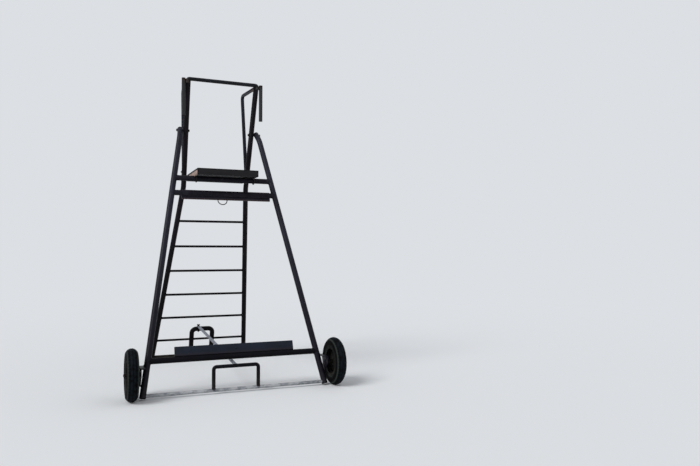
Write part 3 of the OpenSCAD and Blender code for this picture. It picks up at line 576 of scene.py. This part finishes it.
def addLadderWelds():
    bm = bmesh.new()
    topBar, footBar = tubeLine("topBar"), tubeLine("footBar")
    for side in (-1, 1):
        low, high = tubeLine("uprightLow", side), tubeLine("uprightHigh", side)
        inward, top = (-side, 0, 0), tubes["uprightHigh"][1][2]
        for k in range(ladder["rungs"]):
            rungEnd = pointAt("uprightLow", side, ladder["rungFirst"] + ladder["rungPitch"] * k)
            addWeld(bm, rungEnd, inward, ladder["rungRadius"], [low], weld["small"])
        railPlace = pointAt("uprightHigh", side, ladder["seatRail"])
        addWeld(bm, railPlace, inward, ladder["seatRailRadius"], [high], weld["small"])
        addWeld(bm, low[0], low[1], low[2], [footBar], weld["big"])
        addWeld(bm, pointAt("uprightHigh", side, top), -high[1], high[2], [topBar], weld["small"])
        front, corner, end = [onSide(ladder[name], side) for name in ("railFront", "railCorner", "railEnd")]
        addWeld(bm, front, corner - front, ladder["railRadius"], [high, topBar], weld["small"])
        addWeld(bm, end, corner - end, ladder["railRadius"], [high], weld["small"])
        addSeam(bm, onSide(ladder["seam"], side), (0, 0, 1), ladder["seamLength"], weld["big"])
    lean = math.radians(ladder["hoopLean"])
    hoopUp = (0, -math.sin(lean), math.cos(lean))
    for x in ladder["hoopLegs"]:
        addWeld(bm, footBar[0] + Vector((x, 0, 0)), hoopUp, ladder["hoopRadius"], [footBar], weld["big"])
    finishPiece("ladder_welds", bm, "ladder_paint")


# Beads that hold the axle brackets on the legs: short arcs round the outside of a leg, so
# many degrees to each side
bracketWelds = {"heights": (0.2515, 0.1040), "spread": 36, "steps": 14}


def addBracketWelds():
    bm = bmesh.new()
    for side in (-1, 1):
        direction, radius = tubeLine("leg", side)[1:]
        out = Vector((side, 0, 0))
        out = (out - out.dot(direction) * direction).normalized()
        first = Matrix.Rotation(-math.radians(bracketWelds["spread"]), 3, direction) @ out
        for height in bracketWelds["heights"]:
            centre = pointAt("leg", side, height)
            faces = addDisc(bm, weld["sides"], weld["big"],
                            matrixOf(centre + first * radius, first, direction, first.cross(direction)))
            bmesh.ops.spin(bm, geom=faces, cent=centre, axis=direction,
                           angle=math.radians(2 * bracketWelds["spread"]), steps=bracketWelds["steps"])
    finishPiece("bracket_welds", bm, "frame_paint")


# Fasteners, in metres. A bolt's size is from the middle of its head to a corner, and its
# washer's radius and its head's height are shares of that. A drum's edges this near to its
# outer end are chamfered.
fastener = {"domeSides": 20, "domeRings": 10, "drumSides": 24, "chamfer": 0.0006, "washer": 1.2,
            "washerHeight": 0.0015, "headHeight": 0.65, "near": 0.0001}


def addDome(bm, place, direction, radius, height):
    squashed = matrixAlong(place, direction) @ Matrix.Diagonal((1, 1, height / radius, 1))
    bmesh.ops.create_uvsphere(bm, u_segments=fastener["domeSides"], v_segments=fastener["domeRings"],
                              radius=radius, matrix=squashed)


def addDrum(bm, place, direction, radius, height, sides=fastener["drumSides"], chamfer=fastener["chamfer"]):
    direction = Vector(direction).normalized()
    middle = matrixAlong(place, direction) @ Matrix.Translation((0, 0, height / 2))
    made = bmesh.ops.create_cone(bm, cap_ends=True, segments=sides, radius1=radius, radius2=radius,
                                 depth=height, matrix=middle)
    top = Vector(place) + direction * height
    rim = dict.fromkeys(edge for vert in made["verts"] for edge in vert.link_edges
                        if all((v.co - top).dot(direction) > -fastener["near"] for v in edge.verts))
    bmesh.ops.bevel(bm, geom=list(rim), offset=chamfer, segments=2, profile=0.5, affect="EDGES", material=-1)


def addHexBolt(bm, place, direction, size):
    direction = Vector(direction).normalized()
    addDrum(bm, place, direction, size * fastener["washer"], fastener["washerHeight"])
    head = Vector(place) + direction * fastener["washerHeight"]
    addDrum(bm, head, direction, size, size * fastener["headHeight"], sides=6)


# Bolts of both boards, and side bolts on the uprights a little above the seat
boardBolts = {"lowerBar": (-0.7420, 0.2810), "upperBar": (-0.2550, 1.6610), "lowerUp": 0.066,
              "lowerX": (-0.375, 0.0, 0.375), "upperX": (-0.31, 0.025, 0.36), "lowerFront": 0.0100,
              "lowerBack": 0.0152, "upperBack": 0.0442, "domeRadius": 0.0095, "domeHeight": 0.0042,
              "nut": 0.0085, "railBoltHeight": 1.8920, "railBolt": 0.0075}


def addBoardBolts():
    lean = math.radians(boardLean)
    ahead = Vector((0, -math.cos(lean), math.sin(lean)))
    domeRadius, domeHeight = boardBolts["domeRadius"], boardBolts["domeHeight"]
    domes, nuts = bmesh.new(), bmesh.new()
    for x in boardBolts["lowerX"]:
        middle = Vector((x, *boardBolts["lowerBar"])) + Vector(boardUp) * boardBolts["lowerUp"]
        addDome(domes, middle + ahead * boardBolts["lowerFront"], ahead, domeRadius, domeHeight)
        addHexBolt(nuts, middle - ahead * boardBolts["lowerBack"], -ahead, boardBolts["nut"])
    for x in boardBolts["upperX"]:
        middle = Vector((x, *boardBolts["upperBar"]))
        addDome(domes, middle - ahead * boardBolts["upperBack"], -ahead, domeRadius, domeHeight)
    finishPiece("board_bolt_heads", domes, "board_paint")
    for side in (-1, 1):
        upright = pointAt("uprightHigh", side, boardBolts["railBoltHeight"])
        outside = Vector((side * tubes["uprightHigh"][2], 0, 0))
        addHexBolt(nuts, upright + outside, (side, 0, 0), boardBolts["railBolt"])
    finishPiece("frame_nuts", nuts, "fasteners")


# Screws near both ends of each top board, and near both ends of the front board
seatScrews = {"x": 0.2610, "top": 1.8690, "front": -0.4160, "radius": 0.0045, "proud": 0.0005,
              "sunk": 0.0006, "sides": 16, "chamfer": 0.0003, "boards": 4, "gap": 0.005,
              "offsets": (0.035, 0.110), "drops": (0.020, 0.042)}


def addSeatScrew(bm, place, direction):
    sunkPlace = Vector(place) - Vector(direction) * seatScrews["sunk"]
    addDrum(bm, sunkPlace, direction, seatScrews["radius"], seatScrews["sunk"] + seatScrews["proud"],
            seatScrews["sides"], seatScrews["chamfer"])


def addSeatScrews():
    bm = bmesh.new()
    low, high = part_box("seat_boards")
    step = (high.y - low.y + seatScrews["gap"]) / seatScrews["boards"]
    for side in (-1, 1):
        x = side * seatScrews["x"]
        for k in range(seatScrews["boards"]):
            for offset in seatScrews["offsets"]:
                addSeatScrew(bm, (x, low.y + k * step + offset, seatScrews["top"]), (0, 0, 1))
        for drop in seatScrews["drops"]:
            addSeatScrew(bm, (x, seatScrews["front"], seatScrews["top"] - drop), (0, -1, 0))
    finishPiece("seat_screws", bm, "fasteners")


# The strut's round end is pressed flat over the start of its tongue
strutNeck = {"front": (-0.0190, -0.8300, 0.2170), "rear": (-0.0210, 0.9260, 0.3500), "radius": 0.0135,
             "flatWidth": 0.0176, "flatDepth": 0.0034, "tongue": 0.126, "length": 0.052, "sides": 32,
             "steps": 7}


def addStrutNeck():
    front, rear = Vector(strutNeck["front"]), Vector(strutNeck["rear"])
    direction = (rear - front).normalized()
    wide = Vector((1, 0, 0))
    wide = (wide - wide.dot(direction) * direction).normalized()
    thick = direction.cross(wide)
    centre = rear - direction * strutNeck["tongue"]
    radius = width = depth = strutNeck["radius"]
    bm = bmesh.new()
    verts, edges = addRing(bm, strutNeck["sides"], radius, matrixOf(centre, wide, thick, direction))
    for k in range(1, strutNeck["steps"] + 1):
        made = bmesh.ops.extrude_edge_only(bm, edges=edges)["geom"]
        verts = [item for item in made if isinstance(item, bmesh.types.BMVert)]
        edges = [item for item in made if isinstance(item, bmesh.types.BMEdge)
                 and all(vert in verts for vert in item.verts)]
        share = k / strutNeck["steps"]
        ease = share * share * (3 - 2 * share)
        newWidth = radius + (strutNeck["flatWidth"] - radius) * ease
        newDepth = radius + (strutNeck["flatDepth"] - radius) * ease
        newCentre = centre + direction * (strutNeck["length"] / strutNeck["steps"])
        for vert in verts:
            off = vert.co - centre
            across = wide * (off.dot(wide) * newWidth / width)
            vert.co = newCentre + across + thick * (off.dot(thick) * newDepth / depth)
        centre, width, depth = newCentre, newWidth, newDepth
    bmesh.ops.contextual_create(bm, geom=edges)
    addWeld(bm, front, direction, radius, [tubeLine("hoopBar")], weld["small"])
    # The strut's zinc is darkened as painted shade
    finishPiece("strut_neck", bm, "galvanised", finish="shaded_strut_zinc")


# Turns what was made round +Z on to its axle, with +Z outwards
def turnToAxle(bm, side):
    turn = Matrix.Translation(onSide(wheelMiddle, side)) @ Matrix.Rotation(side * math.pi / 2, 4, "Y")
    bmesh.ops.transform(bm, matrix=turn, verts=bm.verts)


# The tyre's section is an arc from bead to bead, in degrees from the middle of its crown:
# it has a first angle and then rows of steps and degrees per step. Faces at the angles of
# the grooves, notches and ridges are sunk or raised, and their walls lean in by an edge.
tyre = {"crown": 0.0460, "middle": 0.1560, "beadRadius": 0.1113, "wallFrom": 0.1253, "steps": 192,
        "arcFrom": -135, "arc": ((17, 6), (22, 3), (17, 6)), "grooves": (-27, 0, 27), "half": 3,
        "grooveDepth": 0.0040, "grooveEdge": 0.0005, "notchFrom": 30, "notchTo": 51, "notchEvery": 4,
        "notchDepth": 0.0035, "notchEdge": 0.0004, "ridges": (66, 120), "ridgeHeight": 0.0014,
        "ridgeEdge": 0.0006}


def addTyre(name, side):
    bm = bmesh.new()
    start = math.radians(tyre["arcFrom"])
    first = bm.verts.new((tyre["middle"] + tyre["crown"] * math.cos(start), 0,
                          tyre["crown"] * math.sin(start)))
    last = [first]
    for steps, width in tyre["arc"]:
        last = bmesh.ops.spin(bm, geom=last, cent=(tyre["middle"], 0, 0), axis=(0, -1, 0),
                              angle=math.radians(steps * width), steps=steps)["geom_last"]
    inner = [bm.verts.new((tyre["beadRadius"], 0, end.co.z)) for end in (first, last[0])]
    for pair in ((first, inner[0]), (last[0], inner[1]), inner):
        bm.edges.new(pair)
    bmesh.ops.spin(bm, geom=bm.verts[:] + bm.edges[:], cent=(0, 0, 0), axis=(0, 0, 1), angle=2 * math.pi,
                   steps=tyre["steps"], use_merge=True)
    bmesh.ops.recalc_face_normals(bm, faces=bm.faces)
    grooves, notches, ridges = [], [], []
    for face in bm.faces:
        centre = face.calc_center_median()
        away = math.hypot(*centre.xy)
        if away <= tyre["wallFrom"]:
            continue
        turn = math.degrees(math.atan2(centre.z, away - tyre["middle"]))
        index = int((math.atan2(centre.y, centre.x) % (2 * math.pi)) / (2 * math.pi / tyre["steps"]))
        offset = 0 if turn > 0 else tyre["notchEvery"] // 2
        if min(abs(turn - groove) for groove in tyre["grooves"]) < tyre["half"]:
            grooves.append(face)
        elif tyre["notchFrom"] < abs(turn) < tyre["notchTo"] and index % tyre["notchEvery"] == offset:
            notches.append(face)
        elif min(abs(abs(turn) - ridge) for ridge in tyre["ridges"]) < tyre["half"]:
            ridges.append(face)
    for faces, edge, height in ((grooves, tyre["grooveEdge"], -tyre["grooveDepth"]),
                                (notches, tyre["notchEdge"], -tyre["notchDepth"]),
                                (ridges, tyre["ridgeEdge"], tyre["ridgeHeight"])):
        bmesh.ops.inset_region(bm, faces=faces, thickness=edge, depth=height, use_even_offset=True)
    turnToAxle(bm, side)
    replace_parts(finishPiece(name + "_tyre_tread", bm, "tyre", name + "_wheel"), name + "_tyre")


# Hub flanges and a stiffening ring, pressed into the plain wheel disc
rimPressing = {"hubProfile": ((0.0188, 0.0), (0.0188, 0.0170), (0.0230, 0.0165), (0.0420, 0.0050),
                              (0.0500, 0.0032), (0.0510, 0.0)),
               "hubSteps": 64, "ringRadius": 0.0790, "ringWidth": 0.0055, "ringHeight": 0.0045,
               "ringSides": 16, "ringSteps": 80}


def addRimPressing(name, side):
    bm = bmesh.new()
    for face in (-1, 1):
        corners = [bm.verts.new((radius, 0, face * height)) for radius, height in rimPressing["hubProfile"]]
        edges = [bm.edges.new(pair) for pair in zip(corners, corners[1:] + corners[:1])]
        bmesh.ops.spin(bm, geom=corners + edges, cent=(0, 0, 0), axis=(0, 0, 1), angle=2 * math.pi,
                       steps=rimPressing["hubSteps"], use_merge=True)
    up = (0, 0, rimPressing["ringHeight"] / rimPressing["ringWidth"])
    verts, edges = addRing(bm, rimPressing["ringSides"], rimPressing["ringWidth"],
                           matrixOf((rimPressing["ringRadius"], 0, 0), (1, 0, 0), up, (0, -1, 0)))
    bmesh.ops.spin(bm, geom=verts + edges, cent=(0, 0, 0), axis=(0, 0, 1), angle=2 * math.pi,
                   steps=rimPressing["ringSteps"], use_merge=True)
    turnToAxle(bm, side)
    finishPiece(name + "_rim_pressing", bm, "rim_paint", name + "_wheel")


# Bolts of the wheel disc, with a head on each face of its web
rimBolts = {"count": 4, "radius": 0.0610, "size": 0.0062, "webHalf": 0.0015}


def addRimBolts(name, side):
    bm = bmesh.new()
    for k in range(rimBolts["count"]):
        angle = 2 * math.pi * (k + 0.5) / rimBolts["count"]
        for face in (-1, 1):
            place = (rimBolts["radius"] * math.cos(angle), rimBolts["radius"] * math.sin(angle),
                     face * rimBolts["webHalf"])
            addHexBolt(bm, place, (0, 0, face), rimBolts["size"])
    turnToAxle(bm, side)
    finishPiece(name + "_rim_bolts", bm, "fasteners", name + "_wheel")


# The valve leans out of the disc, and its cap starts at a share of its length
valve = {"place": (0.0935, 0, 0.0040), "towards": (-0.55, 0, 0.83), "radius": 0.0032, "length": 0.020,
         "capFrom": 0.8, "capRadius": 0.0042, "capLength": 0.009, "capChamfer": 0.001, "sides": 20}


def addValve(name, side):
    bm = bmesh.new()
    direction = Vector(valve["towards"]).normalized()
    place = Vector(valve["place"])
    addDrum(bm, place, direction, valve["radius"], valve["length"], valve["sides"])
    capPlace = place + direction * valve["length"] * valve["capFrom"]
    addDrum(bm, capPlace, direction, valve["capRadius"], valve["capLength"], valve["sides"],
            valve["capChamfer"])
    turnToAxle(bm, side)
    finishPiece(name + "_valve", bm, "tyre", name + "_wheel")


# Floor and light
studio = {"floor": "#e6e8ea", "far": "#dcdfe3", "floorSize": 400.0, "floorRoughness": 0.9, "fadeFrom": 2.5,
          "fadeTo": 9.0, "world": "#e9ebef", "worldStrength": 0.55}


# Rays that see the plain background: from the camera, and mirrored or through glass
def seenRays(tree):
    camera, mirrored, through = [
        addNode(tree, "ShaderNodeLightPath", {}, ray)
        for ray in ("Is Camera Ray", "Is Glossy Ray", "Is Transmission Ray")]
    bent = addNode(tree, "ShaderNodeMath", {0: mirrored, 1: through}, operation="MAXIMUM")
    return addNode(tree, "ShaderNodeMath", {0: camera, 1: bent}, operation="MAXIMUM")


# The floor takes the light and the shadow near the object and fades to the plain far
# colour, which the world shows too, so that no horizon line is seen
def setStage():
    bpy.ops.mesh.primitive_plane_add(size=studio["floorSize"])
    floor = bpy.context.object
    floor.name = "floor"
    material, tree, shader, place = newMaterial("paleFloor", specular=0.2)
    shader.inputs["Base Color"].default_value = hexColour(studio["floor"])
    shader.inputs["Roughness"].default_value = studio["floorRoughness"]
    away = addNode(tree, "ShaderNodeVectorMath", {0: place}, "Value", operation="LENGTH")
    fade = softMask(tree, away, studio["fadeFrom"], studio["fadeTo"], seenRays(tree))
    plain = addNode(tree, "ShaderNodeEmission", {"Color": studio["far"]})
    mix = addNode(tree, "ShaderNodeMixShader", {0: fade, 1: shader.outputs["BSDF"], 2: plain})
    tree.links.new(mix, tree.nodes["Material Output"].inputs["Surface"])
    floor.data.materials.append(material)
    world = bpy.data.worlds.new("studio")
    scene.world = world
    world.use_nodes = True
    tree = world.node_tree
    light = tree.nodes["Background"]
    light.inputs["Color"].default_value = hexColour(studio["world"])
    light.inputs["Strength"].default_value = studio["worldStrength"]
    plain = addNode(tree, "ShaderNodeBackground", {"Color": studio["far"], "Strength": 1.0})
    mix = addNode(tree, "ShaderNodeMixShader", {0: seenRays(tree), 1: light.outputs[0], 2: plain})
    tree.links.new(mix, tree.nodes["World Output"].inputs["Surface"])


# Broad soft lamps far away, so that the floor is lit evenly: the way the light comes
# from, its strength and how wide the lamp looks, in degrees
lamps = {"key": ((-1.0, -0.45, 0.95), 1.9, 30), "fill": ((0.9, -0.6, 0.7), 0.25, 60)}


def addLamps():
    for name, (origin, strength, wide) in lamps.items():
        lamp = bpy.data.objects.new(name + "Lamp", bpy.data.lights.new(name + "Lamp", "SUN"))
        lamp.data.energy = strength
        lamp.data.angle = math.radians(wide)
        lamp.rotation_euler = Vector(origin).to_track_quat("Z", "Y").to_euler()
        scene.collection.objects.link(lamp)


setCamera()
setStage()
addLamps()
print("camera, stage and lamps set")
dressFrame()
random.seed(weld["seed"])
addFrameWelds()
addLadderWelds()
addBracketWelds()
print("welds made")
for node in bentTubes:
    smoothNode(node)
for node in rounding["boards"]:
    softenNode(node, rounding["boardWidth"])
for node in rounding["plates"]:
    softenNode(node, rounding["plateWidth"])
print("tubes smoothed, boards and plates softened")
addBoardBolts()
addSeatScrews()
addStrutNeck()
print("fasteners made")
for side, name in ((-1, "left"), (1, "right")):
    addTyre(name, side)
    addRimPressing(name, side)
    addRimBolts(name, side)
    addValve(name, side)
print("wheels made")
